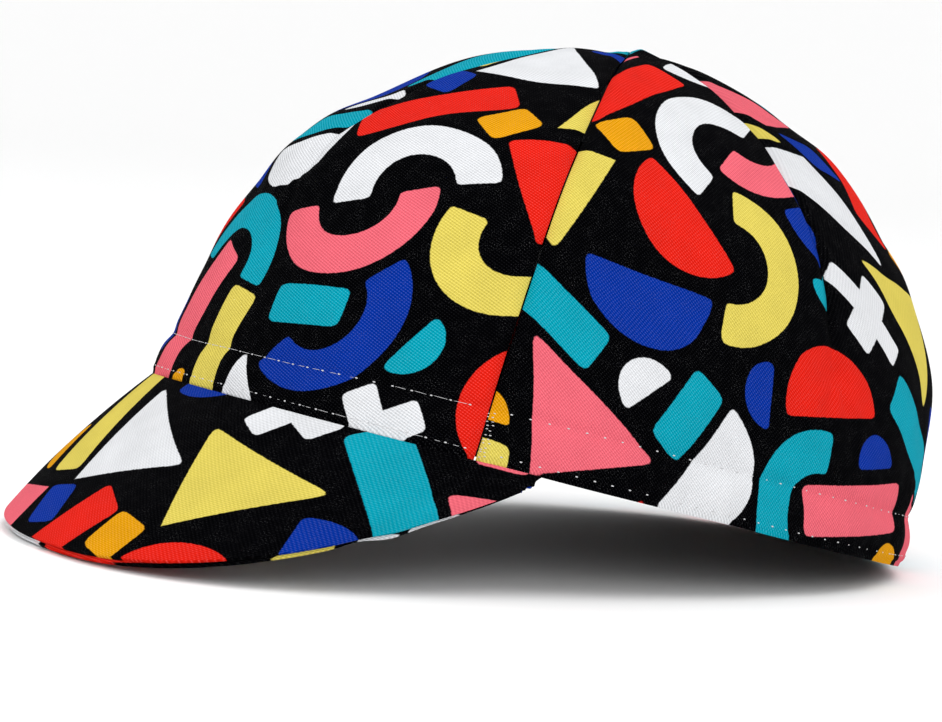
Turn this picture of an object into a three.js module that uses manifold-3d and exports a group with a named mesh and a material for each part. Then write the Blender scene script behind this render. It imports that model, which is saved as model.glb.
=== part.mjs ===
// Cotton cycling cap with a soft crown, a short peak and a band inside, lying on a flat surface.
// Millimetres, +Z up. The peak points to -Y and the wearer's left side is +X.
// The cap is drawn with its lower edge flat on z = 0, then tipped until it rests on peak and nape.
import * as THREE from 'three';
import Module from 'manifold-3d';

const wasm = await Module();
wasm.setup();

// Crown
const HEAD_LENGTH = 200.4;
const HEAD_WIDTH = 166;
const CROWN_HEIGHT = 109;
const CROWN_CLOTH = 1.4;
const EDGE_ROUND = 0.5;
const APEX_FORWARD = 3;

// Band inside the lower edge
const BAND_HEIGHT = 15;
const BAND_CLOTH = 1.2;
const BAND_LIFT = 0.9;

// Peak
const PEAK_REACH = 54;
const PEAK_END = 5;
const PEAK_CORNER = 59.4;
const PEAK_SQUARE = 3;
const PEAK_FULLNESS = 0.7;
const PEAK_SLOPE = 56;
const PEAK_SLOPE_EASE = 12;
const PEAK_BOW = 1.6;
const PEAK_TOP_CLOTH = 1.1;
const PEAK_UNDER_CLOTH = 1.1;
const PEAK_LIP = 0.5;

// Sewing
const SEAM_GAP = 0.4;
const SEAM_DEPTH = 0.9;
const SEAM_WIDTH = 3.4;
const FOLD_DEPTH = 2.4;
const STITCH_PINCH = 0.6;
const STITCH_WIDTH = 2.4;
const ELASTIC_PULL = 1.7;
const ELASTIC_WIDTH = 8;
const GATHER_DEPTH = 0.5;
const GATHER_PITCH = 18;

// Room between pieces, and how far cloth flattens where it rests
const FIT_GAP = 0.3;
const REST_PRESS = 0.6;

// Level sections of the crown from the lower edge to the top. height is a share of the crown's
// height, front, back and side are shares of the half length and half width, square is how boxy.
const SECTIONS = [
  { name: 'lower edge', height: 0.000, front: 1.000, back: 0.985, side: 1.000, square: 2.35 },
  { name: 'ears', height: 0.2225, front: 0.955, back: 0.997, side: 0.958, square: 2.30 },
  { name: 'temples', height: 0.434, front: 0.882, back: 0.993, side: 0.894, square: 2.25 },
  { name: 'brow', height: 0.623, front: 0.786, back: 0.895, side: 0.790, square: 2.20 },
  { name: 'crown', height: 0.782, front: 0.588, back: 0.764, side: 0.625, square: 2.15 },
  { name: 'upper crown', height: 0.901, front: 0.382, back: 0.598, side: 0.443, square: 2.10 },
  { name: 'cap of the crown', height: 0.970, front: 0.190, back: 0.335, side: 0.240, square: 2.05 },
  { name: 'top', height: 0.985, front: 0.000, back: 0.000, side: 0.000, square: 2.00 },
];

// Sewn lines that run down from the top. low and high are azimuths from the front in degrees at
// the lower edge and at the top, end is the height share where the line stops.
const EAR_SEAM = { low: 49.4, high: 53.7, end: 0.00, depth: 1.0 };
const FRONT_DART = { low: 0, high: 0, end: 0.62, depth: 0.8 };
const REAR_DART = { low: 112.7, high: 118, end: 0.40, depth: 1.0 };

// Puckers and swells. height, across and up are shares of the crown's height, depth is a share of
// the fold depth, and a minus depth stands proud.
const DENTS = [
  { name: 'front dart tip', azimuth: 0, height: 0.59, across: 0.055, up: 0.045, depth: 0.75 },
  { name: 'below front dart', azimuth: 0, height: 0.50, across: 0.16, up: 0.10, depth: -0.35 },
  { name: 'left dart tip', azimuth: 115, height: 0.375, across: 0.05, up: 0.055, depth: 0.8 },
  { name: 'right dart tip', azimuth: -115, height: 0.375, across: 0.05, up: 0.055, depth: 0.8 },
  { name: 'fold at the top', azimuth: 135, height: 0.982, across: 0.10, up: 0.012, depth: -0.8 },
  { name: 'hollow by left ear', azimuth: 64, height: 0.33, across: 0.12, up: 0.16, depth: 0.4 },
  { name: 'hollow by right ear', azimuth: -66, height: 0.36, across: 0.12, up: 0.16, depth: 0.4 },
];

// Where the mesh columns stand: shares of the way from one sewn line to the next
const FRONT_STOPS = [0, 0.06, 0.15, 0.27, 0.4, 0.53, 0.66, 0.78, 0.88, 0.95, 1];
const SIDE_STOPS = [0, 0.045, 0.11, 0.2, 0.31, 0.43, 0.55, 0.67, 0.78, 0.87, 0.94, 1];
const NAPE_STOPS = [0.06, 0.14, 0.22, 0.3, 0.38, 0.46, 0.54, 0.62, 0.7, 0.78, 0.86, 0.93, 1];
const CROWN_ROWS = 11;
const LAST_ROW_BELOW_TOP = 0.45;
const BAND_STOPS = [0.2, 0.75];
const PEAK_COLUMNS = 34;
const PEAK_ROWS = 5;

const halfLength = HEAD_LENGTH / 2;
const halfWidth = HEAD_WIDTH / 2;
const lastSection = SECTIONS.length - 1;
const rad = THREE.MathUtils.degToRad;

// Smooth curve through one column of the section table. At the top the widths carry on with their
// sign turned, so that the crown closes round.
function sectionValue(column, place) {
  const spot = THREE.MathUtils.clamp(place, 0, lastSection);
  const at = (i) => {
    if (i < 0) {
      return 2 * SECTIONS[0][column] - SECTIONS[1][column];
    }
    if (i > lastSection) {
      const turn = column === 'height' || column === 'square' ? 1 : -1;
      return turn * SECTIONS[2 * lastSection - i][column];
    }
    return SECTIONS[i][column];
  };
  const i = Math.min(Math.floor(spot), lastSection - 1);
  const f = spot - i;
  const [a, b, c, d] = [at(i - 1), at(i), at(i + 1), at(i + 2)];
  const bend = (2 * a - 5 * b + 4 * c - d) * f * f + (3 * b - a - 3 * c + d) * f * f * f;
  return 0.5 * (2 * b + (c - a) * f + bend);
}

function heightAt(place) {
  return CROWN_HEIGHT * sectionValue('height', place);
}

// Place in the section table of a height above the lower edge
function placeAt(height) {
  let low = 0;
  let high = lastSection;
  for (let i = 0; i < 40; i += 1) {
    const middle = (low + high) / 2;
    if (heightAt(middle) < height) {
      low = middle;
    } else {
      high = middle;
    }
  }
  return (low + high) / 2;
}

// Outline of the crown before any sewing, as a rounded rectangle in each level section
function crownForm(azimuth, place) {
  const across = Math.sin(rad(azimuth));
  const along = Math.cos(rad(azimuth));
  const side = halfWidth * sectionValue('side', place);
  const end = halfLength * sectionValue(along > 0 ? 'front' : 'back', place);
  const square = sectionValue('square', place);
  const share = sectionValue('height', place);
  if (side < 1e-6 || end < 1e-6) {
    return new THREE.Vector3(0, -APEX_FORWARD * share, CROWN_HEIGHT * share);
  }
  const spread = Math.abs(across / side) ** square + Math.abs(along / end) ** square;
  const radius = spread ** (-1 / square);
  return new THREE.Vector3(radius * across, -radius * along - APEX_FORWARD * share, CROWN_HEIGHT * share);
}

function crownNormal(azimuth, place) {
  if (place > lastSection - 0.02) {
    return new THREE.Vector3(0, 0, 1);
  }
  const turn = crownForm(azimuth + 0.5, place).sub(crownForm(azimuth - 0.5, place));
  const above = crownForm(azimuth, Math.min(place + 0.02, lastSection));
  const climb = above.sub(crownForm(azimuth, Math.max(place - 0.02, 0)));
  return turn.cross(climb).normalize();
}

function azimuthOf(line, place) {
  return THREE.MathUtils.lerp(line.low, line.high, place / lastSection);
}

function angleBetween(a, b) {
  return Math.abs(((((a - b) % 360) + 540) % 360) - 180);
}

function bell(distance, width) {
  return Math.exp(-((distance / width) ** 2));
}

// How far the sewn cloth stands in or out of the plain form at one place
function relief(azimuth, place) {
  const form = crownForm(azimuth, place);
  const reach = Math.hypot(form.x, form.y + APEX_FORWARD);
  const height = form.z;
  const topFade = THREE.MathUtils.smoothstep(reach, 2 * SEAM_WIDTH, 5 * SEAM_WIDTH);
  const perDegree = rad(reach);
  let rise = 0;
  for (const line of [EAR_SEAM, REAR_DART, FRONT_DART]) {
    const tip = line.end * CROWN_HEIGHT;
    const started = line.end === 0 ? 1 : THREE.MathUtils.smoothstep(height, tip, tip + 4 * SEAM_WIDTH);
    const centre = azimuthOf(line, place);
    for (const side of centre === 0 ? [1] : [1, -1]) {
      const away = angleBetween(azimuth, side * centre) * perDegree;
      rise -= line.depth * SEAM_DEPTH * started * topFade * bell(away, SEAM_WIDTH);
    }
  }
  for (const dent of DENTS) {
    const away = angleBetween(azimuth, dent.azimuth) * perDegree;
    const climb = height - dent.height * CROWN_HEIGHT;
    const near = bell(away, dent.across * CROWN_HEIGHT) * bell(climb, dent.up * CROWN_HEIGHT);
    rise -= dent.depth * FOLD_DEPTH * near;
  }
  const nape = Math.max(0, -Math.cos(rad(azimuth))) ** 3;
  rise -= STITCH_PINCH * bell(height - BAND_HEIGHT, STITCH_WIDTH);
  rise -= ELASTIC_PULL * nape * bell(height - BAND_HEIGHT, ELASTIC_WIDTH);
  const gathered = nape * bell(height - BAND_HEIGHT, 2 * ELASTIC_WIDTH);
  return rise + GATHER_DEPTH * gathered * Math.cos((2 * Math.PI * azimuth * perDegree) / GATHER_PITCH);
}

// Point of the sewn crown, a depth below its outer face
function crownPoint(azimuth, place, depth) {
  const out = crownNormal(azimuth, place);
  const point = crownForm(azimuth, place);
  return point.addScaledVector(out, relief(azimuth, place) - depth);
}

// Closed solid between an outer and an inner grid of points, grid[column][row]. A ring joins its
// last column to its first, a pole draws the last row into one point, and a hem is a row of points
// that rounds the edge along the first row.
function solidBetween(outer, inner, { ring = false, pole = false, hem = null } = {}) {
  const columns = outer.length;
  const rows = outer[0].length;
  const positions = [];
  const triangles = [];
  const put = (point) => positions.push(point.x, point.y, point.z) / 3 - 1;
  const indexGrid = (grid) => {
    const top = pole ? put(grid[0][rows - 1]) : 0;
    return grid.map((column) => column.map((point, r) => (pole && r === rows - 1 ? top : put(point))));
  };
  const quad = (a, b, c, d) => {
    if (a !== b && b !== c && a !== c) {
      triangles.push(a, b, c);
    }
    if (a !== c && c !== d && a !== d) {
      triangles.push(a, c, d);
    }
  };
  const out = indexGrid(outer);
  const back = indexGrid(inner);
  const edge = hem ? hem.map(put) : null;
  const spans = ring ? columns : columns - 1;
  for (let c = 0; c < spans; c += 1) {
    const n = (c + 1) % columns;
    for (let r = 0; r < rows - 1; r += 1) {
      quad(out[c][r], out[n][r], out[n][r + 1], out[c][r + 1]);
      quad(back[n][r], back[c][r], back[c][r + 1], back[n][r + 1]);
    }
    if (edge) {
      quad(edge[c], edge[n], out[n][0], out[c][0]);
      quad(back[c][0], back[n][0], edge[n], edge[c]);
    } else {
      quad(back[c][0], back[n][0], out[n][0], out[c][0]);
    }
    if (!pole) {
      quad(out[c][rows - 1], out[n][rows - 1], back[n][rows - 1], back[c][rows - 1]);
    }
  }
  if (!ring) {
    const z = columns - 1;
    for (let r = 0; r < rows - 1; r += 1) {
      quad(out[0][r], out[0][r + 1], back[0][r + 1], back[0][r]);
      quad(out[z][r + 1], out[z][r], back[z][r], back[z][r + 1]);
    }
    if (edge) {
      quad(edge[0], out[0][0], back[0][0], edge[0]);
      quad(edge[z], back[z][0], out[z][0], edge[z]);
    }
  }
  return { positions, triangles };
}

// Rows of the crown: close together at the band's stitching, then evenly up to the top
const bandHeights = BAND_STOPS.map((stop) => stop * BAND_HEIGHT);
const bandRows = [0, ...bandHeights, BAND_HEIGHT].map(placeAt);
const aboveBand = [placeAt(BAND_HEIGHT + STITCH_WIDTH), placeAt(BAND_HEIGHT + 3 * STITCH_WIDTH)];
const firstEven = placeAt(BAND_HEIGHT + 6 * STITCH_WIDTH);
const evenRows = Array.from({ length: CROWN_ROWS }, (_, i) => {
  return THREE.MathUtils.lerp(firstEven, lastSection - LAST_ROW_BELOW_TOP, i / (CROWN_ROWS - 1));
});
const crownRows = [...bandRows, ...aboveBand, ...evenRows, lastSection];

// Azimuth of a seam edge, half the seam's gap to one side of the sewn line
function seamEdge(place, side) {
  const azimuth = azimuthOf(EAR_SEAM, place);
  const form = crownForm(azimuth, place);
  const reach = Math.hypot(form.x, form.y + APEX_FORWARD);
  return azimuth + side * THREE.MathUtils.radToDeg(SEAM_GAP / 2 / Math.max(reach, 1));
}

// A panel of the crown. Each column gives its azimuth at a place in the section table, and the
// panel's own point at the top stands off the top by topShift along Y.
function crownPanel(columns, topShift) {
  const grid = (depth) => columns.map((azimuthFor) => crownRows.map((place) => {
    if (place === lastSection) {
      return crownPoint(0, place, depth).add(new THREE.Vector3(0, topShift, 0));
    }
    return crownPoint(azimuthFor(place), place, depth);
  }));
  const hem = columns.map((azimuthFor) => {
    const point = crownPoint(azimuthFor(0), 0, CROWN_CLOTH / 2);
    return point.add(new THREE.Vector3(0, 0, -EDGE_ROUND));
  });
  return solidBetween(grid(0), grid(CROWN_CLOTH), { pole: true, hem });
}

const mix = THREE.MathUtils.lerp;
const topShift = SEAM_GAP / 2 / Math.sin(rad(EAR_SEAM.high));
const frontHalf = FRONT_STOPS.map((s) => (place) => mix(0, seamEdge(place, -1), s));
const frontColumns = [
  ...frontHalf.slice(1).reverse().map((column) => (place) => -column(place)),
  ...frontHalf,
];
const sideColumns = SIDE_STOPS.map((s) => (place) => {
  return mix(seamEdge(place, 1), azimuthOf(REAR_DART, place), s);
});
const napeColumns = NAPE_STOPS.map((s) => (place) => mix(azimuthOf(REAR_DART, place), 180, s));
const rearHalf = [...sideColumns, ...napeColumns];
const rearColumns = [
  ...rearHalf,
  ...rearHalf.slice(0, -1).reverse().map((column) => (place) => 360 - column(place)),
];

// Band: a closed ring just inside the crown, with the crown's own columns
function sweatband() {
  const bandPlaces = [BAND_LIFT, ...bandHeights, BAND_HEIGHT - BAND_LIFT / 2];
  const places = bandPlaces.map(placeAt);
  const columns = [...frontColumns, ...rearColumns.slice(1, -1)];
  const grid = (depth) => columns.map((azimuthFor) => {
    return places.map((place) => crownPoint(azimuthFor(place), place, depth));
  });
  const outerDepth = CROWN_CLOTH + FIT_GAP;
  return solidBetween(grid(outerDepth), grid(outerDepth + BAND_CLOTH), { ring: true });
}

// Peak: straight lines that leave the crown's lower edge all round the front. across runs from -1
// at one corner to 1 at the other, and out from 0 at the crown to 1 at the free edge.
function peakReach(across) {
  const fullness = Math.max(0, 1 - Math.abs(across) ** PEAK_SQUARE) ** PEAK_FULLNESS;
  return PEAK_END + (PEAK_REACH - PEAK_END) * fullness;
}

function peakLine(across) {
  const start = crownPoint(across * PEAK_CORNER, 0, 0);
  start.z -= EDGE_ROUND + FIT_GAP;
  const slope = rad(PEAK_SLOPE - PEAK_SLOPE_EASE * across * across);
  return { start, way: new THREE.Vector3(0, -Math.cos(slope), -Math.sin(slope)) };
}

function peakPoint(across, out, depth, lip) {
  const reach = peakReach(across);
  const { start, way } = peakLine(across);
  const before = peakLine(across - 0.01);
  const after = peakLine(across + 0.01);
  const from = before.start.addScaledVector(before.way, out * reach);
  const tangent = after.start.addScaledVector(after.way, out * reach).sub(from);
  const up = way.clone().cross(tangent).normalize();
  const bow = PEAK_BOW * 4 * out * (1 - out) * (1 - across * across);
  return start.addScaledVector(way, (reach + lip) * out).addScaledVector(up, bow - depth);
}

function peakCover(depth, cloth, lip) {
  const places = Array.from({ length: PEAK_COLUMNS + 1 }, (_, i) => {
    return Math.sin((Math.PI / 2) * mix(-1, 1, i / PEAK_COLUMNS));
  });
  const outs = Array.from({ length: PEAK_ROWS + 1 }, (_, i) => 1 - i / PEAK_ROWS);
  const grid = (d) => places.map((across) => outs.map((out) => peakPoint(across, out, d, lip)));
  const hem = places.map((across) => peakPoint(across, 1, depth + cloth / 2, lip + EDGE_ROUND));
  return solidBetween(grid(depth), grid(depth + cloth), { hem });
}

const underDepth = PEAK_TOP_CLOTH + FIT_GAP;
const drawn = {
  front_panel: crownPanel(frontColumns, -topShift),
  rear_panel: crownPanel(rearColumns, topShift),
  sweatband: sweatband(),
  peak_top: peakCover(0, PEAK_TOP_CLOTH, 0),
  peak_under: peakCover(underDepth, PEAK_UNDER_CLOTH, PEAK_LIP),
};

// Lowest point of a drawn piece when the whole cap is tipped back by a tilt about X
function lowestPoint(piece, tilt) {
  let lowest = Infinity;
  for (let i = 0; i < piece.positions.length; i += 3) {
    const z = piece.positions[i + 2] * Math.cos(tilt) - piece.positions[i + 1] * Math.sin(tilt);
    lowest = Math.min(lowest, z);
  }
  return lowest;
}

// Tilt at which peak and nape touch the surface together
function restingTilt() {
  let low = 0;
  let high = Math.PI / 4;
  for (let i = 0; i < 40; i += 1) {
    const middle = (low + high) / 2;
    if (lowestPoint(drawn.peak_under, middle) < lowestPoint(drawn.rear_panel, middle)) {
      low = middle;
    } else {
      high = middle;
    }
  }
  return (low + high) / 2;
}

const tilt = restingTilt();
const drop = lowestPoint(drawn.rear_panel, tilt) + REST_PRESS;
const tip = new THREE.Matrix4().makeRotationX(-tilt);
const place = new THREE.Matrix4().makeTranslation(0, 0, -drop).multiply(tip);
const bounds = new THREE.Box3();
for (const piece of Object.values(drawn)) {
  for (let i = 0; i < piece.positions.length; i += 3) {
    bounds.expandByPoint(new THREE.Vector3().fromArray(piece.positions, i).applyMatrix4(place));
  }
}
const middle = new THREE.Matrix4().makeTranslation(0, -(bounds.min.y + bounds.max.y) / 2, 0);
place.premultiply(middle);

function toManifold(positions, triangles) {
  return new wasm.Manifold(new wasm.Mesh({
    numProp: 3,
    vertProperties: new Float32Array(positions),
    triVerts: new Uint32Array(triangles),
  }));
}

function toGeometry(mesh) {
  const geometry = new THREE.BufferGeometry();
  geometry.setAttribute('position', new THREE.BufferAttribute(new Float32Array(mesh.vertProperties), 3));
  geometry.setIndex(Array.from(mesh.triVerts));
  geometry.computeVertexNormals();
  return geometry;
}

// Block below the surface, which flattens the cloth that rests on it
function surfaceBlock() {
  const block = new THREE.BoxGeometry(3 * HEAD_LENGTH, 3 * HEAD_LENGTH, CROWN_HEIGHT);
  block.translate(0, 0, -CROWN_HEIGHT / 2);
  const points = [];
  const corner = new THREE.Vector3();
  const places = new Map();
  const triangles = Array.from(block.index.array, (i) => {
    corner.fromBufferAttribute(block.attributes.position, i);
    const key = `${corner.x},${corner.y},${corner.z}`;
    if (!places.has(key)) {
      places.set(key, points.push(corner.x, corner.y, corner.z) / 3 - 1);
    }
    return places.get(key);
  });
  return toManifold(points, triangles);
}

const below = surfaceBlock();
const cloths = {
  front_panel: { color: 0x1a1d26, roughness: 0.9 },
  rear_panel: { color: 0x20242c, roughness: 0.9 },
  sweatband: { color: 0x0c0c0f, roughness: 0.95 },
  peak_top: { color: 0x23262f, roughness: 0.9 },
  peak_under: { color: 0x101116, roughness: 0.92 },
};

const cap = new THREE.Group();
cap.name = 'cycling_cap';
for (const [name, piece] of Object.entries(drawn)) {
  const positions = [];
  for (let i = 0; i < piece.positions.length; i += 3) {
    const point = new THREE.Vector3().fromArray(piece.positions, i).applyMatrix4(place);
    positions.push(point.x, point.y, point.z);
  }
  const resting = toManifold(positions, piece.triangles).subtract(below);
  const cloth = new THREE.MeshStandardMaterial({ ...cloths[name], metalness: 0 });
  const mesh = new THREE.Mesh(toGeometry(resting.getMesh()), cloth);
  mesh.name = name;
  cap.add(mesh);
}

export default cap;
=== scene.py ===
import math

import bpy
import numpy as np
from mathutils import Matrix, Vector


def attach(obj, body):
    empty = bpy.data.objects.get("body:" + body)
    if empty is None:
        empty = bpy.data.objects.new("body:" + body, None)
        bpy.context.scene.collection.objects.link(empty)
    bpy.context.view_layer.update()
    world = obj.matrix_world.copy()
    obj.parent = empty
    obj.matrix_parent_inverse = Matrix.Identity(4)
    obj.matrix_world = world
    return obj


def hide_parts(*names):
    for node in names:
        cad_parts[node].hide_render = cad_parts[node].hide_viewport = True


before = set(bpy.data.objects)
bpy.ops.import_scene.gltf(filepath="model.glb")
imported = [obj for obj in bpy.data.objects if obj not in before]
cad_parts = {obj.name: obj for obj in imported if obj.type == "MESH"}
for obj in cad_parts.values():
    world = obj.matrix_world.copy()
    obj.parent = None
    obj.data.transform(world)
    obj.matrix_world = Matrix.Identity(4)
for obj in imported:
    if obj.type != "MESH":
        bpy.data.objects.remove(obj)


def note_size():
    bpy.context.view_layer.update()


note_size()
bpy.ops.object.select_all(action="DESELECT")

# Crown, in millimetres. The main sizes are those of the plain cap
HEAD_LENGTH = 200.4
HEAD_WIDTH = 166
CROWN_HEIGHT = 109
CROWN_CLOTH = 1.4
EDGE_ROUND = 0.5
APEX_FORWARD = 3
FIT_GAP = 0.3

# Peak. Angles in degrees
PEAK_REACH = 54
PEAK_END = 5
PEAK_CORNER = 59.4
PEAK_SQUARE = 2.75
PEAK_FULLNESS = 0.72
PEAK_SLOPE = 56
PEAK_SLOPE_EASE = 12
PEAK_BOW = 1.6
PEAK_CLOTH = 1.1
PEAK_LIP = 0.5
PEAK_TUCK = 0.12
PEAK_EDGE_LENGTH = 184

# Seams and darts: a valley, a sharp crease in it and a swell beside the crease
SEAM_GAP = 0.4
SEAM_DEPTH = 0.9
SEAM_WIDTH = 3.4
CREASE_DEPTH = 0.75
CREASE_WIDTH = 0.7
CREASE_START = 1.5
SWELL_HEIGHT = 0.28
SWELL_AWAY = 2.6
SWELL_WIDTH = 1.5
RIPPLE = 0.35
FOLD_DEPTH = 2.4
FAN_DEPTH = 0.34
FAN_REACH = 9

# Fold of the rear panel over the front panel where they meet at the top. Angles in degrees
TOP_FOLD = 1.0
TOP_FOLD_AT = 84
TOP_FOLD_SPREAD = 24
TOP_FOLD_RIGHT = 0.4
TOP_FOLD_REACH = 6
TOP_FOLD_WIDTH = 5

# Band, elastic and rows of stitches
BAND_HEIGHT = 15
BAND_CLOTH = 1.2
BAND_LIFT = 0.9
BAND_MIDDLE = 6.5
BAND_SWELL = 0.3
NAPE_SWELL = 0.5
NAPE_ROLL = 1.4
HEM_TURN = 0.55
ROW_HEIGHT = 12.3
ROW_DIP = 1.9
HEM_ROW_HEIGHT = 1.7
HEM_ROW_CLIMB = 1.2
STITCH_PITCH = 4.7
STITCH_PINCH = 0.6
STITCH_WIDTH = 2.4
ELASTIC_PULL = 1.7
ELASTIC_WIDTH = 8
GATHER_DEPTH = 0.5
GATHER_PITCH = 18

# How the cap lies on the surface: tipped back in degrees, then raised and moved along
LYING_TIP = 11.695499
LYING_RAISE = 19.727604
LYING_SHIFT = 15.678219

# Level sections of the crown from the lower edge to the top
SECTION_COLUMNS = ("height", "front", "back", "side", "square")
SECTIONS = (
    (0.000, 1.000, 0.985, 1.000, 2.35),
    (0.2225, 0.955, 0.997, 0.958, 2.30),
    (0.434, 0.882, 0.993, 0.894, 2.25),
    (0.623, 0.786, 0.895, 0.790, 2.20),
    (0.782, 0.588, 0.764, 0.625, 2.15),
    (0.901, 0.382, 0.598, 0.443, 2.10),
    (0.970, 0.190, 0.335, 0.240, 2.05),
    (0.985, 0.000, 0.000, 0.000, 2.00),
)
LAST = len(SECTIONS) - 1

# Sewn lines: azimuth at the lower edge and at the top, height share where the line ends, depth
EAR_SEAM = (49.4, 53.7, 0.00, 1.0)
FRONT_DART = (0, 0, 0.50, 0.8)
REAR_DART = (112.7, 118, 0.40, 1.0)

# Puckers and swells: azimuth, height, width across, width up, depth (minus stands proud)
DENTS = (
    (0, 0.55, 0.055, 0.045, 0.75),
    (0, 0.50, 0.16, 0.10, -0.35),
    (115, 0.375, 0.05, 0.055, 0.8),
    (-115, 0.375, 0.05, 0.055, 0.8),
    (135, 0.982, 0.10, 0.012, -0.8),
    (64, 0.33, 0.12, 0.16, 0.4),
    (-66, 0.36, 0.12, 0.16, 0.4),
    (-15, 0.78, 0.16, 0.10, 0.45),
    (-16, 0.63, 0.11, 0.05, 0.40),
    (157, 0.77, 0.20, 0.10, 0.50),
    (148, 0.965, 0.15, 0.02, -0.60),
)

# Folds below the darts: azimuth and height of the dart's end, number of folds
DART_FANS = ((0, 0.56, 9), (115, 0.40, 8), (-115, 0.40, 8))

# Loose waves in the cloth: wave length in mm along x, y and z, and height in mm
WAVES = (
    (61, 83, 47, 0.28),
    (-38, 52, 71, 0.22),
    (29, -44, 36, 0.15),
    (24, 31, -58, 0.11),
    (-17, 23, 41, 0.07),
    (13, -19, 27, 0.05),
)


def section(column, place):
    """Smooth curve through one column of the section table."""
    values = [row[SECTION_COLUMNS.index(column)] for row in SECTIONS]
    turn = 1 if column in ("height", "square") else -1
    knots = np.array([2 * values[0] - values[1], *values, turn * values[-2]])
    spot = np.clip(place, 0, LAST)
    i = np.minimum(spot.astype(int), LAST - 1)
    f = spot - i
    a, b, c, d = knots[i], knots[i + 1], knots[i + 2], knots[i + 3]
    bend = (2 * a - 5 * b + 4 * c - d) * f**2 + (3 * b - a - 3 * c + d) * f**3
    return 0.5 * (2 * b + (c - a) * f + bend)


PLACES = np.linspace(0, LAST, 4001)
HEIGHTS = CROWN_HEIGHT * section("height", PLACES)


def place_at(height):
    """Place in the section table of a height above the lower edge."""
    rising = PLACES < LAST - 0.3
    return np.interp(height, HEIGHTS[rising], PLACES[rising])


def crown_form(azimuth, place):
    """Outline of the crown before any sewing."""
    azimuth, place = np.broadcast_arrays(azimuth * 1.0, place * 1.0)
    across, along = np.sin(np.radians(azimuth)), np.cos(np.radians(azimuth))
    side = np.maximum(HEAD_WIDTH / 2 * section("side", place), 1e-6)
    reach = np.where(along > 0, section("front", place), section("back", place))
    end = np.maximum(HEAD_LENGTH / 2 * reach, 1e-6)
    square, share = section("square", place), section("height", place)
    spread = np.abs(across / side) ** square + np.abs(along / end) ** square
    radius = spread ** (-1 / square)
    y = -radius * along - APEX_FORWARD * share
    return np.stack([radius * across, y, CROWN_HEIGHT * share], -1)


def unit(vectors):
    return vectors / np.maximum(np.linalg.norm(vectors, axis=-1, keepdims=True), 1e-9)


def crown_normal(azimuth, place):
    turn = crown_form(azimuth + 0.5, place) - crown_form(azimuth - 0.5, place)
    above = crown_form(azimuth, np.minimum(place + 0.02, LAST))
    climb = above - crown_form(azimuth, np.maximum(place - 0.02, 0))
    out = unit(np.cross(turn, climb))
    top = (np.broadcast_to(place, out.shape[:-1]) > LAST - 0.02)[..., None]
    return np.where(top, np.array([0, 0, 1.0]), out)


def bell(distance, width):
    return np.exp(-((distance / width) ** 2))


def ease(value, low, high):
    share = np.clip((value - low) / (high - low), 0, 1)
    return share * share * (3 - 2 * share)


def between(a, b):
    """Unsigned angle from one azimuth to another."""
    return np.abs((a - b + 540) % 360 - 180)


def upper_row(azimuth):
    """Height of the upper row of stitches above the lower edge."""
    return ROW_HEIGHT - ROW_DIP * np.maximum(0, np.cos(np.radians(azimuth))) ** 4


def lower_row(azimuth):
    """Height of the lower row of stitches above the lower edge."""
    return HEM_ROW_HEIGHT + HEM_ROW_CLIMB * nape_share(azimuth)


def nape_share(azimuth):
    """1 in the middle of the back, 0 from the sides forward."""
    return np.maximum(0, -np.cos(np.radians(azimuth))) ** 3


def sewn_lines(azimuth, place, height, reach, fine):
    """Shallow valleys along the seams and darts, with a sharp crease in each."""
    rise = np.zeros_like(height)
    top_fade = ease(reach, 2 * SEAM_WIDTH, 5 * SEAM_WIDTH)
    near_top = ease(reach, CREASE_START, 2 * SEAM_WIDTH)
    for low, high, end, depth in (EAR_SEAM, REAR_DART, FRONT_DART):
        tip = end * CROWN_HEIGHT
        started = 1 if end == 0 else ease(height, tip, tip + 4 * SEAM_WIDTH)
        sharp = 1 if end == 0 else ease(height, tip - 1, tip + 2.5 * SEAM_WIDTH)
        centre = low + (high - low) * place / LAST
        for side in ((1, -1) if high else (1,)):
            away = between(azimuth, side * centre) * np.radians(reach)
            rise -= depth * SEAM_DEPTH * started * top_fade * bell(away, SEAM_WIDTH)
            crease = CREASE_DEPTH * np.exp(-away / CREASE_WIDTH)
            crease = crease - SWELL_HEIGHT * bell(away - SWELL_AWAY, SWELL_WIDTH)
            ripple = 1 + RIPPLE * np.sin(height / 2.7 + side) * np.sin(height / 7.1)
            rise -= fine * depth * crease * sharp * ripple * near_top
    return rise


def puckers(azimuth, height, reach):
    """The dents and swells of the table."""
    rise = np.zeros_like(height)
    for at, share, across, up, depth in DENTS:
        away = between(azimuth, at) * np.radians(reach)
        climb = height - share * CROWN_HEIGHT
        near = bell(away, across * CROWN_HEIGHT) * bell(climb, up * CROWN_HEIGHT)
        rise -= depth * FOLD_DEPTH * near
    return rise


def dart_fans(azimuth, height, reach):
    """Small folds that fan out from the end of each dart."""
    rise = np.zeros_like(height)
    for at, share, folds in DART_FANS:
        across = ((azimuth - at + 540) % 360 - 180) * np.radians(reach)
        climb = height - share * CROWN_HEIGHT + 2
        turn = np.arctan2(across, -climb)
        away = np.hypot(across, climb)
        spread = bell(away - FAN_REACH, FAN_REACH) * ease(away, 1, 6) * bell(turn, 1.5)
        rise += FAN_DEPTH * spread * np.cos(folds * turn + 0.6 * at)
    return rise


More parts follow.
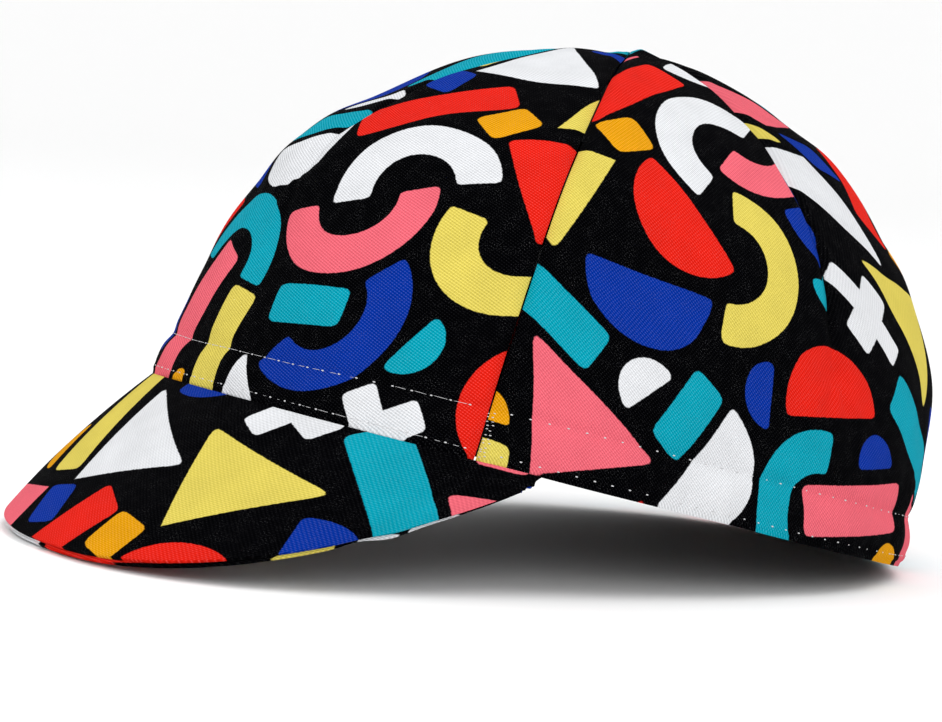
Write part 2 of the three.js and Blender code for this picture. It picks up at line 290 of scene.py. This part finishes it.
def band_relief(azimuth, height, reach, fine):
    """The pinch of the stitch rows, the pull of the elastic, the gathers and the rolled hem."""
    nape = nape_share(azimuth)
    above_row = height - upper_row(azimuth)
    along = azimuth * np.radians(reach)
    rise = -STITCH_PINCH * bell(above_row, STITCH_WIDTH)
    rise -= ELASTIC_PULL * nape * bell(above_row, ELASTIC_WIDTH)
    gathered = nape * bell(above_row, 2 * ELASTIC_WIDTH)
    rise += GATHER_DEPTH * gathered * np.cos(2 * np.pi * along / GATHER_PITCH)
    small = 0.42 * np.cos(along / 1.3 + 1.7 * np.sin(along / 5.3)) + 0.2 * np.cos(along / 0.8)
    rise += fine * nape * bell(above_row - 1, 9) * small
    rise += fine * BAND_SWELL * bell(height - BAND_MIDDLE, 3.6)
    rise += fine * NAPE_SWELL * nape * bell(height - BAND_MIDDLE, 3.4)
    rise -= fine * HEM_TURN * ease(-height, -1.3, 0)
    rise -= fine * NAPE_ROLL * nape * ease(-height, -2.4, 0)
    rise -= fine * 0.35 * nape * bell(height - 3.2, 1.1)
    for away in (height - lower_row(azimuth), above_row):
        pinch = 0.16 + 0.16 * np.cos(2 * np.pi * along / STITCH_PITCH)
        rise -= fine * pinch * bell(away, 0.9)
    return rise


def loose_waves(form, reach):
    creep = np.zeros_like(reach)
    for k, (x, y, z, size) in enumerate(WAVES):
        phase = form[..., 0] / x + form[..., 1] / y + form[..., 2] / z
        creep += size * np.sin(2 * np.pi * phase + 1.3 * k)
    return creep * ease(reach, 4, 25)


def relief(azimuth, place, fine=1.0):
    """How far the sewn cloth stands in or out of the plain form, with fine as the share of
    the small folds."""
    form = crown_form(azimuth, place)
    reach = np.hypot(form[..., 0], form[..., 1] + APEX_FORWARD)
    height = form[..., 2]
    rise = sewn_lines(azimuth, place, height, reach, fine) + puckers(azimuth, height, reach)
    rise += fine * dart_fans(azimuth, height, reach)
    rise += band_relief(azimuth, height, reach, fine)
    return rise + fine * loose_waves(form, reach)


def crown_point(azimuth, place, depth, fine=1.0):
    azimuth, place = np.broadcast_arrays(azimuth * 1.0, place * 1.0)
    out = crown_normal(azimuth, place)
    return crown_form(azimuth, place) + out * (relief(azimuth, place, fine) - depth)[..., None]


def lay_down(points):
    """From the cap standing on its lower edge to the cap lying on the surface, in metres."""
    c, s = math.cos(math.radians(LYING_TIP)), math.sin(math.radians(LYING_TIP))
    x, y, z = points[..., 0], points[..., 1], points[..., 2]
    laid = np.stack([x, y * c + z * s + LYING_SHIFT, z * c - y * s + LYING_RAISE], -1)
    laid[..., 2] = np.maximum(laid[..., 2], 0.02)
    return laid / 1000


def finished(piece):
    """Leaves a piece in object mode with nothing selected."""
    bpy.ops.object.mode_set(mode="OBJECT")
    bpy.ops.object.select_all(action="DESELECT")
    return piece


def choose(piece):
    bpy.ops.object.select_all(action="DESELECT")
    piece.select_set(True)
    bpy.context.view_layer.objects.active = piece


def apply_all(piece):
    choose(piece)
    for step in list(piece.modifiers):
        bpy.ops.object.modifier_apply(modifier=step.name)


def cloth_piece(name, across, up, lay, cloth, materials, ring=False):
    """A sheet of cloth: a flat grid laid onto its form, given thickness and rounded edges.
    lay takes the shares across and up and gives points in mm and pattern coordinates in mm."""
    bpy.ops.mesh.primitive_grid_add(x_subdivisions=across, y_subdivisions=up, size=2)
    piece = bpy.context.object
    piece.name = piece.data.name = name
    mesh = piece.data
    flat = np.empty(len(mesh.vertices) * 3)
    mesh.vertices.foreach_get("co", flat)
    flat = flat.reshape(-1, 3)
    points, pattern = lay((flat[:, 0] + 1) / 2, (flat[:, 1] + 1) / 2)
    mesh.vertices.foreach_set("co", lay_down(points).ravel())
    corners = np.empty(len(mesh.loops), int)
    mesh.loops.foreach_get("vertex_index", corners)
    mesh.uv_layers.active.data.foreach_set("uv", (pattern[corners] / 1000).ravel())
    mesh.update()
    for material in materials:
        mesh.materials.append(material)
    choose(piece)
    bpy.ops.object.mode_set(mode="EDIT")
    bpy.ops.mesh.select_all(action="SELECT")
    bpy.ops.mesh.remove_doubles(threshold=0.000004)
    bpy.ops.object.mode_set(mode="OBJECT")
    wall = piece.modifiers.new("wall", "SOLIDIFY")
    wall.thickness = cloth / 1000
    wall.offset = -1
    wall.material_offset = len(materials) - 1
    if not ring:
        turned = piece.modifiers.new("turned edge", "BEVEL")
        turned.limit_method = "ANGLE"
        turned.angle_limit = math.radians(62)
        turned.width = 0.00042
        turned.segments = 2
    apply_all(piece)
    bpy.ops.object.shade_smooth()
    return finished(piece)


def stops(marks, weights, share, tight=0.55):
    """Runs a share from 0 to 1 through marks, slowing down at each mark."""
    ends = np.cumsum([0, *weights]) / sum(weights)
    i = np.clip(np.searchsorted(ends, share, side="right") - 1, 0, len(weights) - 1)
    f = (share - ends[i]) / (ends[i + 1] - ends[i])
    f = (1 - tight) * f + tight * (f * f * (3 - 2 * f))
    return i, f


def along_line(line, place):
    return line[0] + (line[1] - line[0]) * place / LAST


def seam_edge(place, side):
    azimuth = along_line(EAR_SEAM, place)
    form = crown_form(azimuth, place)
    reach = np.hypot(form[..., 0], form[..., 1] + APEX_FORWARD)
    return azimuth + side * np.degrees(SEAM_GAP / 2 / np.maximum(reach, 1))


BAND_PLACE = float(place_at(BAND_HEIGHT + 4))


def crown_place(share):
    """Rows of the crown: closer together over the band than above it."""
    low = share / 0.22 * BAND_PLACE
    rest = np.clip((share - 0.22) / 0.78, 0, 1)
    return np.where(share < 0.22, low, BAND_PLACE + (LAST - BAND_PLACE) * rest)


PLACE_STEPS = np.linspace(0, LAST, 141)
TURN_STEPS = np.linspace(0, 180, 181)
_grid = crown_form(TURN_STEPS[:, None], PLACE_STEPS[None, :])
_round = np.linalg.norm(np.diff(_grid, axis=0), axis=-1)
_climb = np.linalg.norm(np.diff(_grid, axis=1), axis=-1)
ROUND = np.concatenate([np.zeros((1, 141)), np.cumsum(_round, 0)])
CLIMB = np.concatenate([np.zeros((181, 1)), np.cumsum(_climb, 1)], 1)


def table_value(table, azimuth, place):
    """Value of a table over azimuth 0 to 180 and place, between its entries."""
    a = np.clip(azimuth, 0, 179.999)
    p = np.clip(place / LAST * 140, 0, 139.999)
    i, j = a.astype(int), p.astype(int)
    f, g = a - i, p - j
    low = table[i, j] * (1 - g) + table[i, j + 1] * g
    return low * (1 - f) + (table[i + 1, j] * (1 - g) + table[i + 1, j + 1] * g) * f


def pattern_on(azimuth, place, start, dart, tip, lie):
    """Pattern coordinates on a panel that is flat cloth from its middle line at azimuth start.
    Above its dart's tip the cloth between dart and seam keeps its own middle line, so that the
    pattern no longer meets across the dart. lie turns and shifts the pattern on the panel."""
    turn = np.where(azimuth > 180, azimuth - 360, azimuth)
    hand, bare = np.where(turn < 0, -1, 1), np.abs(turn)

    def run_to(at, height):
        return table_value(ROUND, at, height) - table_value(ROUND, at * 0 + start, height)

    held = np.minimum(place, place_at(tip * CROWN_HEIGHT))
    middle = bare * 0 + (dart + EAR_SEAM[1]) / 2
    taken_in = run_to(middle, held) - run_to(middle, place)
    beyond = np.clip(bare >= along_line(REAR_DART, place), 0, 1) * (start == 180)
    run = run_to(bare, place) + np.where(beyond, 0, taken_in)
    climb = table_value(CLIMB, bare, place)
    u = hand * run * (1 if start == 0 else -1)
    turn_by = math.radians(lie[0])
    c, s = math.cos(turn_by), math.sin(turn_by)
    return np.stack([u * c - climb * s + lie[1], u * s + climb * c + lie[2]], -1)


# How the print lies on each piece: turn in degrees, then shift across and up in mm
FRONT_LIE = (8, 41, 16)
REAR_LIE = (84, 20, 63)
PEAK_LIE = (-14, 66, 30)
UNDER_LIE = (31, 12, 5)
TOP_SHIFT = SEAM_GAP / 2 / math.sin(math.radians(EAR_SEAM[1]))


def hemmed(points, place):
    """Carries the lowest row down round the folded edge."""
    points[..., 2] -= EDGE_ROUND * (place < 1e-6)
    return points


def lay_front(across, up):
    place = crown_place(up)
    i, f = stops((-1, 0, 1), (1, 1), across)
    edge = seam_edge(place, -1)
    azimuth = np.where(i == 0, -edge * (1 - f), edge * f)
    points = hemmed(crown_point(azimuth, place, 0), place)
    points[place > LAST - 1e-6] = crown_point(np.zeros(1), np.full(1, 1.0 * LAST), 0)
    points[place > LAST - 1e-6, 1] -= TOP_SHIFT
    return points, pattern_on(azimuth, place, 0, 0, FRONT_DART[2], FRONT_LIE)


def lay_rear(across, up):
    place = crown_place(up)
    i, f = stops((0, 1, 2, 3), (1, 2.2, 1), across)
    edge, dart = seam_edge(place, 1), along_line(REAR_DART, place)
    marks = np.stack([edge, dart, 360 - dart, 360 - edge])
    k = np.arange(len(i))
    azimuth = marks[i, k] * (1 - f) + marks[i + 1, k] * f
    points = hemmed(crown_point(azimuth, place, 0), place)
    points[place > LAST - 1e-6] = crown_point(np.zeros(1), np.full(1, 1.0 * LAST), 0)
    points[place > LAST - 1e-6, 1] += TOP_SHIFT
    reach = np.hypot(points[:, 0], points[:, 1] + APEX_FORWARD)
    sides = bell(azimuth - TOP_FOLD_AT, TOP_FOLD_SPREAD)
    sides += TOP_FOLD_RIGHT * bell(azimuth - 360 + TOP_FOLD_AT, TOP_FOLD_SPREAD)
    fold = TOP_FOLD * sides * bell(reach - TOP_FOLD_REACH, TOP_FOLD_WIDTH) * ease(reach, 0, 3)
    points += crown_normal(azimuth, place) * fold[:, None]
    return points, pattern_on(azimuth, place, 180, 115, REAR_DART[2], REAR_LIE)


def lay_band(across, up):
    height = BAND_LIFT + (BAND_HEIGHT - 1.5 * BAND_LIFT) * up
    place, azimuth = place_at(height), across * 360
    points = crown_point(azimuth, place, CROWN_CLOTH + FIT_GAP, 0.35)
    return points, np.stack([azimuth * 1.6, height], -1)


def peak_line(across):
    start = crown_point(across * PEAK_CORNER, across * 0.0, 0, 0)
    start[..., 2] -= EDGE_ROUND - PEAK_TUCK
    slope = np.radians(PEAK_SLOPE - PEAK_SLOPE_EASE * across**2)
    return start, np.stack([slope * 0, -np.cos(slope), -np.sin(slope)], -1)


def peak_point(across, out, depth, lip):
    full = np.maximum(0, 1 - np.abs(across) ** PEAK_SQUARE) ** PEAK_FULLNESS
    reach = PEAK_END + (PEAK_REACH - PEAK_END) * full
    start, way = peak_line(across)
    beside = [edge + turned * (out * reach)[..., None]
              for edge, turned in map(peak_line, (across - 0.01, across + 0.01))]
    up = unit(np.cross(way, beside[1] - beside[0]))
    bow = PEAK_BOW * 4 * out * (1 - out) * (1 - across**2)
    loose = 0.16 * np.sin(across * 9 + out * 4) * np.sin(out * 5 + 1) * out
    away = start + way * ((reach + lip) * out)[..., None] + up * (bow + loose - depth)[..., None]
    return away, reach


def lay_peak(depth, lip, lie):
    def lay(across, up):
        share, out = np.sin(np.pi / 2 * (2 * across - 1)), 1 - up
        points, reach = peak_point(share, out, depth, lip)
        u = share * PEAK_EDGE_LENGTH / 2
        v = -out * reach
        c, s = math.cos(math.radians(lie[0])), math.sin(math.radians(lie[0]))
        return points, np.stack([u * c - v * s + lie[1], u * s + v * c + lie[2]], -1)
    return lay


# Generic print: half discs, arches, blocks, wedges and crosses scattered on black cloth.
# Each row: kind, middle across and up in mm, turn in degrees, two sizes in mm, colour.
PRINT_REPEAT = 132
CORNER = 2.6
EDGE_SHARPNESS = 5.0
RIB_PITCH = 0.62
RIB_LIGHT = (0.55, 0.55, 0.57)
INKS = {
    "white": (0.64, 0.65, 0.67),
    "red": (0.64, 0.012, 0.005),
    "blue": (0.0005, 0.025, 0.270),
    "teal": (0.0005, 0.285, 0.375),
    "pink": (0.71, 0.114, 0.152),
    "yellow": (0.61, 0.505, 0.088),
    "amber": (0.64, 0.28, 0.001),
}
GROUND = (0.0002, 0.0002, 0.0006)
MOTIFS = (
    ("arch", 59.7, 73.9, 210, 16, 5, "pink"),
    ("arch", 72.4, 46.5, 240, 16, 5, "blue"),
    ("arch", 71.7, 80.9, 30, 16, 5, "white"),
    ("arch", 104.5, 80.6, 180, 16, 5, "yellow"),
    ("arch", 25.5, 44.3, 0, 16, 5, "teal"),
    ("half", 131.9, 43.3, 75, 17, 0, "red"),
    ("half", 22.7, 84.7, 210, 17, 0, "white"),
    ("half", 116.4, 101.8, 270, 17, 0, "blue"),
    ("half", 94.8, 91.9, 315, 17, 0, "red"),
    ("bar", 19.6, 29.2, 75, 19, 4.2, "pink"),
    ("bar", 42.7, 21.1, 90, 19, 4.2, "yellow"),
    ("bar", 129, 131.8, 300, 19, 4.2, "teal"),
    ("bar", 55.7, 107.7, 45, 19, 4.2, "red"),
    ("wedge", 63.9, 9.8, 135, 11, 8, "white"),
    ("wedge", 97.5, 129.9, 150, 11, 8, "yellow"),
    ("wedge", 24.9, 117.2, 300, 11, 8, "pink"),
    ("cross", 101.1, 23.8, 315, 12, 4, "white"),
    ("bar", 13.9, 88.8, 30, 9, 3, "teal"),
    ("bar", 67, 45.5, 195, 9, 3, "teal"),
    ("half", 97.2, 46.9, 255, 8, 0, "teal"),
    ("half", 7.7, 24.4, 75, 8, 0, "blue"),
    ("half", 12.3, 100, 45, 8, 0, "white"),
    ("half", 31.8, 9.4, 90, 8, 0, "amber"),
    ("half", 1.7, 65.1, 0, 8, 0, "blue"),
    ("bar", 48.3, 121, 90, 4, 3.5, "blue"),
    ("bar", 77.6, 110.6, 240, 4, 3.5, "amber"),
)


class Thread:
    """One value in a cloth's shader, which can be reckoned with as a number."""

    def __init__(self, cloth, socket):
        self.cloth, self.socket = cloth, socket

    def math(self, operation, *others, clamp=False):
        return self.cloth.step("ShaderNodeMath", {"operation": operation, "use_clamp": clamp},
                               (self, *others))

    def __add__(self, other):
        return self.math("ADD", other)

    def __sub__(self, other):
        return self.math("SUBTRACT", other)

    def __rsub__(self, other):
        return self.cloth.step("ShaderNodeMath", {"operation": "SUBTRACT"}, (other, self))

    def __mul__(self, other):
        return self.math("MULTIPLY", other)

    def __abs__(self):
        return self.math("ABSOLUTE")

    def top(self, other):
        return self.math("MAXIMUM", other)

    def low(self, other):
        return self.math("MINIMUM", other)


class Cloth:
    """A material under construction."""

    def __init__(self, name):
        self.material = bpy.data.materials.new(name)
        self.material.use_nodes = True
        self.nodes = self.material.node_tree.nodes
        self.links = self.material.node_tree.links
        self.skin = self.nodes["Principled BSDF"]

    def step(self, kind, settings=None, values=(), out=0):
        """Adds one node. settings are set first, then values or links go to its inputs."""
        node = self.nodes.new(kind)
        for key, value in (settings or {}).items():
            setattr(node, key, value)
        pairs = values.items() if isinstance(values, dict) else enumerate(values)
        for key, value in pairs:
            if isinstance(value, Thread):
                self.links.new(value.socket, node.inputs[key])
            else:
                node.inputs[key].default_value = value
        return Thread(self, node.outputs[out])

    def vector(self, operation, *values, out=0):
        return self.step("ShaderNodeVectorMath", {"operation": operation}, values, out)

    def scaled(self, vector, times):
        return self.step("ShaderNodeVectorMath", {"operation": "SCALE"}, {0: vector, 3: times})

    def split(self, vector):
        node = self.nodes.new("ShaderNodeSeparateXYZ")
        self.links.new(vector.socket, node.inputs[0])
        return [Thread(self, node.outputs[i]) for i in range(3)]

    def blend(self, share, first, second):
        node = self.nodes.new("ShaderNodeMix")
        node.data_type = "RGBA"
        for socket, value in zip((node.inputs[0], node.inputs[6], node.inputs[7]),
                                 (share, first, second)):
            if isinstance(value, Thread):
                self.links.new(value.socket, socket)
            else:
                socket.default_value = value if isinstance(value, float) else (*value, 1)
        return Thread(self, node.outputs[2])

    def feed(self, name, value):
        socket = self.skin.inputs[name]
        if isinstance(value, Thread):
            self.links.new(value.socket, socket)
        else:
            socket.default_value = value


def motif_edge(cloth, kind, near, turn, a, b):
    """Distance in mm from a motif's outline, minus inside it. near starts at its middle."""
    c, s = math.cos(math.radians(turn)), math.sin(math.radians(turn))

    def run(x, y):
        """How far near goes in a direction given as the motif's own across and up."""
        return cloth.vector("DOT_PRODUCT", near, (x * c - y * s, x * s + y * c, 0), out=1)

    if kind in ("half", "arch"):
        from_middle = cloth.vector("LENGTH", near, out=1)
        round_part = from_middle - a if kind == "half" else abs(from_middle - a) - b
        return round_part.math("SMOOTH_MAX", run(0, -1), CORNER)
    if kind == "wedge":
        slanted = abs(run(0.8, 0)) + run(0, 0.6) - a
        return slanted.math("SMOOTH_MAX", run(0, -1) - b, CORNER * 1.6)
    x, y = abs(run(1, 0)), abs(run(0, 1))
    if kind == "bar":
        return (x - a).math("SMOOTH_MAX", y - b, CORNER * 1.4) - CORNER * 0.7
    one, other = (part.math("SMOOTH_MAX", rest, CORNER)
                  for part, rest in ((x - a, y - b), (x - b, y - a)))
    return one.low(other)


def rib_pattern(cloth, spot, lean, pitch):
    """Twill ribs from 0 to 1, with the small steps of the threads along them."""
    x, y, _ = cloth.split(spot)
    c, s = math.cos(math.radians(lean)), math.sin(math.radians(lean))
    turns = 2 * math.pi / pitch
    rib = (x * (c * turns) + y * (s * turns)).math("SINE")
    step = (x * (-s * turns * 0.8) + y * (c * turns * 0.8)).math("SINE")
    return rib * 0.36 + step * 0.14 + 0.5


def uneven(cloth, spot, scale, detail, over="2D"):
    """Smooth noise from 0 to 1."""
    return cloth.step("ShaderNodeTexNoise", {"noise_dimensions": over},
                      {"Vector": spot, "Scale": scale, "Detail": detail})


def finish_cloth(cloth, colour, rib, worn, bump):
    """Gives a cloth its colour, a dull soft surface and its ribs in relief."""
    cloth.feed("Base Color", colour)
    cloth.feed("Roughness", rib * -0.08 + worn * 0.12 + 0.82)
    cloth.feed("Specular IOR Level", 0.006)
    cloth.feed("Sheen Weight", 0.002)
    cloth.feed("Sheen Roughness", 0.5)
    height = rib + worn * 0.5
    normal = cloth.step("ShaderNodeBump", {}, {"Strength": bump, "Distance": 0.00025,
                                               "Height": height})
    cloth.feed("Normal", normal)
    return cloth.material


def printed_cotton(name, strength, lean):
    """Black cotton twill with the print. A weak strength gives the reverse of the cloth."""
    cloth = Cloth(name)
    spot = cloth.scaled(cloth.step("ShaderNodeUVMap"), 1000)
    edge_blur = uneven(cloth, spot, 1.1, 1.0) * 0.25 + 0.05
    half = PRINT_REPEAT / 2
    worn = uneven(cloth, spot, 0.09, 3.0)
    rib = rib_pattern(cloth, spot, lean, RIB_PITCH)
    colour, covered = GROUND, None
    for ink, tint in INKS.items():
        edge = None
        for kind, x, y, turn, a, b, used in MOTIFS:
            if used != ink:
                continue
            near = cloth.vector("SUBTRACT", spot, (x, y, 0))
            near = cloth.vector("WRAP", near, (half, half, 1), (-half, -half, -1))
            one = motif_edge(cloth, kind, near, turn, a, b)
            edge = edge.low(one) if edge else one
        inked = (edge_blur - edge).math("MULTIPLY_ADD", EDGE_SHARPNESS, 0.5, clamp=True)
        covered = covered.top(inked) if covered else inked
        shade = tuple(g + (i - g) * strength for g, i in zip(GROUND, tint))
        colour = cloth.blend(inked, colour, shade)
    dark = cloth.scaled(colour, rib * 0.42 + worn * 0.2 + 0.68)
    fleck = cloth.step("ShaderNodeTexVoronoi", {"voronoi_dimensions": "2D"},
                       {"Vector": spot, "Scale": 1.5})
    lint = uneven(cloth, spot, 0.31, 0.0)
    flecked = (0.13 - fleck).math("MULTIPLY", 9.0, clamp=True) * (lint - 0.35).math(
        "MULTIPLY", 1.6, clamp=True)
    thin_ink = (rib - 0.7).math("MULTIPLY", covered * 0.24 + 0.05, clamp=True) + flecked * 0.2
    colour = cloth.blend(thin_ink, dark, RIB_LIGHT)
    return finish_cloth(cloth, colour, rib, worn, 0.6)


def plain_cotton(name, colour, lean):
    """Cotton twill of one colour."""
    cloth = Cloth(name)
    spot = cloth.scaled(cloth.step("ShaderNodeUVMap"), 1000)
    worn = uneven(cloth, spot, 0.13, 3.0)
    rib = rib_pattern(cloth, spot, lean, RIB_PITCH)
    light = tuple(min(1, c * 1.9 + 0.006) for c in colour)
    return finish_cloth(cloth, cloth.blend(rib * 0.6 + worn * 0.4, colour, light), rib, worn, 0.6)


def sewing_thread(name):
    """White thread with the slight shade of its plies."""
    cloth = Cloth(name)
    spot = cloth.step("ShaderNodeTexCoord", {}, {}, out=3)
    ply = uneven(cloth, spot, 2600.0, 1.0, "3D")
    cloth.feed("Base Color", cloth.blend(ply, (0.34, 0.34, 0.35), (0.70, 0.70, 0.71)))
    cloth.feed("Roughness", ply * 0.2 + 0.6)
    cloth.feed("Sheen Weight", 0.2)
    return cloth.material


outside = printed_cotton("printed cotton", 1.0, 38)
front_outside = printed_cotton("printed cotton of the front", 1.0, 78)
peak_outside = printed_cotton("printed cotton of the peak", 1.0, 120)
reverse = printed_cotton("reverse of the printed cotton", 0.16, -38)
band_cotton = plain_cotton("plain black cotton", (0.010, 0.010, 0.012), 40)
white_thread = sewing_thread("white sewing thread")

front = cloth_piece("front_cloth", 176, 150, lay_front, CROWN_CLOTH,
                    (front_outside, reverse))
rear = cloth_piece("rear_cloth", 300, 150, lay_rear, CROWN_CLOTH, (outside, reverse))
band = cloth_piece("band_cloth", 420, 12, lay_band, BAND_CLOTH, (band_cotton,), ring=True)
peak = cloth_piece("peak_top_cloth", 200, 60, lay_peak(0, 0, PEAK_LIE), PEAK_CLOTH,
                   (peak_outside,))
under = cloth_piece("peak_under_cloth", 200, 60,
                    lay_peak(PEAK_CLOTH + FIT_GAP, PEAK_LIP, UNDER_LIE), PEAK_CLOTH, (peak_outside,))

for piece, node, slot in (
    (front, "front_panel", "printed_cotton"),
    (rear, "rear_panel", "printed_cotton"),
    (band, "sweatband", "plain_cotton"),
    (peak, "peak_top", "printed_cotton"),
    (under, "peak_under", "printed_cotton"),
):
    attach(piece, "root")
    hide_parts(node)


def stitch_row(name, azimuths, heights, length, width, proud):
    """Stitches on the crown: one small bead of thread, copied to each place."""
    bpy.ops.mesh.primitive_uv_sphere_add(segments=8, ring_count=5, radius=1)
    bead = bpy.context.object
    bead.data.materials.append(white_thread)
    bpy.ops.object.shade_smooth()
    place = place_at(heights + 0.0 * azimuths)
    at = lay_down(crown_point(azimuths, place, -proud))
    ahead = lay_down(crown_point(azimuths + 0.4, place, -proud))
    above = lay_down(crown_point(azimuths, place + 0.03, -proud))
    copies = []
    for here, there, over in zip(at, ahead, above):
        along = Vector(there - here).normalized()
        out = along.cross(Vector(over - here)).normalized()
        up = out.cross(along)
        turn = Matrix((along * length / 2000, up * width / 2000, out * width / 2600)).transposed()
        copy = bead.copy()
        copy.data = bead.data.copy()
        bpy.context.collection.objects.link(copy)
        copy.data.transform(Matrix.Translation(Vector(here)) @ turn.to_4x4())
        copies.append(copy)
    bpy.data.objects.remove(bead)
    bpy.ops.object.select_all(action="DESELECT")
    for copy in copies:
        copy.select_set(True)
    bpy.context.view_layer.objects.active = copies[0]
    bpy.ops.object.join()
    row = bpy.context.object
    row.name = row.data.name = name
    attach(row, "root")
    return finished(row)


def spaced(low, high, height, pitch):
    """Azimuths a pitch apart along the crown at one height."""
    fine = np.linspace(low, high, 2001)
    run = crown_form(fine, place_at(np.full(2001, height * 1.0)))
    length = np.concatenate([[0], np.cumsum(np.linalg.norm(np.diff(run, axis=0), axis=-1))])
    return np.interp(np.arange(pitch / 2, length[-1], pitch), length, fine)


BACK_ARC, FRONT_ARC = (51.5, 308.5), (-48.5, 48.5)
KNOT_LENGTH, KNOT_WIDTH = 0.75, 0.38
THREAD_LENGTH, THREAD_WIDTH, THREAD_DEPTH = 4.0, 0.12, 0.01
for name, arc, row in (
    ("rear_upper", BACK_ARC, upper_row),
    ("rear_lower", BACK_ARC, lower_row),
    ("front_upper", FRONT_ARC, upper_row),
    ("front_lower", FRONT_ARC, lower_row),
):
    dots = spaced(*arc, float(row(90)), STITCH_PITCH)
    stitch_row(name + "_stitches", dots, row(dots), KNOT_LENGTH, KNOT_WIDTH, 0.0)
    gaps = (dots[1:] + dots[:-1]) / 2
    shown = gaps[(gaps < 50) | (np.abs(gaps - 180) < 45)]
    stitch_row(name + "_thread", shown, row(shown), THREAD_LENGTH, THREAD_WIDTH, -THREAD_DEPTH)

# Close stitches that hold the ear seam's edge down within the band
TACK_PITCH, TACK_TOP, TACK_COLUMNS = 1.05, 11.9, (0.75, 1.7)
TACK_LENGTH, TACK_WIDTH, TACK_DEPTH = 0.7, 0.26, 0.02
MM_IN_A_DEGREE = math.radians(84)
chance = np.random.default_rng(7)
tack_heights = np.repeat(np.arange(0.9, TACK_TOP, TACK_PITCH), len(TACK_COLUMNS))
tack_away = np.tile(TACK_COLUMNS, len(tack_heights) // len(TACK_COLUMNS))
tack_away = tack_away + chance.normal(0, 0.22, len(tack_heights))
tack_heights = tack_heights + chance.normal(0, 0.2, len(tack_heights))
tack_azimuths = EAR_SEAM[0] + tack_away / MM_IN_A_DEGREE
for side, name in ((1, "left"), (-1, "right")):
    stitch_row(name + "_seam_tack", side * tack_azimuths % 360, tack_heights, TACK_LENGTH,
               TACK_WIDTH, TACK_DEPTH)

# Pale floor that curves up into a backdrop all round, so that no edge of it shows
FLOOR_WIDTH, FLAT_REACH, CURVE_REACH, BACKDROP_HEIGHT = 16, 2.2, 8, 5
FLOOR_DROP = 0.0004
bpy.ops.mesh.primitive_grid_add(x_subdivisions=96, y_subdivisions=96, size=FLOOR_WIDTH)
floor = bpy.context.object
floor.name = "floor"
for vertex in floor.data.vertices:
    reach = math.hypot(vertex.co.x, vertex.co.y)
    vertex.co.z = BACKDROP_HEIGHT * float(ease(reach, FLAT_REACH, CURVE_REACH)) - FLOOR_DROP
bpy.ops.object.shade_smooth()
finished(floor)
paper = Cloth("floor paper")
paper.feed("Base Color", (0.94, 0.94, 0.94, 1))
paper.feed("Roughness", 0.8)
paper.feed("Specular IOR Level", 0.1)
floor.data.materials.append(paper.material)

# Lights: place in metres, width in metres, power in watts. All face the cap
LIGHTS = (
    ("overhead_light", (0.5, 0.2, 1.6), 1.2, 8.5),
    ("camera_side_light", (1.7, -0.7, 0.9), 1.0, 6.5),
    ("front_light", (0.1, -1.9, 0.8), 1.0, 4.5),
)
CAP_MIDDLE = Vector((0, 0, 0.05))
for name, place, width, power in LIGHTS:
    bpy.ops.object.light_add(type="AREA", location=place)
    lamp = bpy.context.object
    lamp.name = lamp.data.name = name
    lamp.data.shape = "DISK"
    lamp.data.size = width
    lamp.data.energy = power
    lamp.rotation_euler = (CAP_MIDDLE - Vector(place)).to_track_quat("-Z", "Y").to_euler()
bpy.ops.object.select_all(action="DESELECT")
world = bpy.data.worlds.new("studio")
world.use_nodes = True
world.node_tree.nodes["Background"].inputs[0].default_value = (1, 1, 1, 1)
world.node_tree.nodes["Background"].inputs[1].default_value = 1.0
bpy.context.scene.world = world
bpy.context.scene.view_settings.view_transform = "Standard"

# Camera, fitted to the photo. Its roll makes up for the steeper tilt of the cap in the photo
CAMERA_PLACE = Vector((0.848711, -0.506060, 0.137438))
CAMERA_LENS = 149.486
CAMERA_TURN, CAMERA_RISE, CAMERA_ROLL = (math.radians(v) for v in (59.455, 5.229, -4.451))
camera_data = bpy.data.cameras.new("camera")
camera = bpy.data.objects.new("camera", camera_data)
bpy.context.collection.objects.link(camera)
camera_data.sensor_width = 36
camera_data.lens = CAMERA_LENS
camera_data.clip_start, camera_data.clip_end = 0.05, 100
back = Vector((math.sin(CAMERA_TURN) * math.cos(CAMERA_RISE),
               -math.cos(CAMERA_TURN) * math.cos(CAMERA_RISE), math.sin(CAMERA_RISE)))
level = Vector((math.cos(CAMERA_TURN), math.sin(CAMERA_TURN), 0))
upright = back.cross(level)
right = level * math.cos(CAMERA_ROLL) - upright * math.sin(CAMERA_ROLL)
above = level * math.sin(CAMERA_ROLL) + upright * math.cos(CAMERA_ROLL)
view = Matrix((right, above, back)).transposed().to_4x4()
view.translation = CAMERA_PLACE
camera.matrix_world = view
bpy.context.scene.camera = camera

note_size()
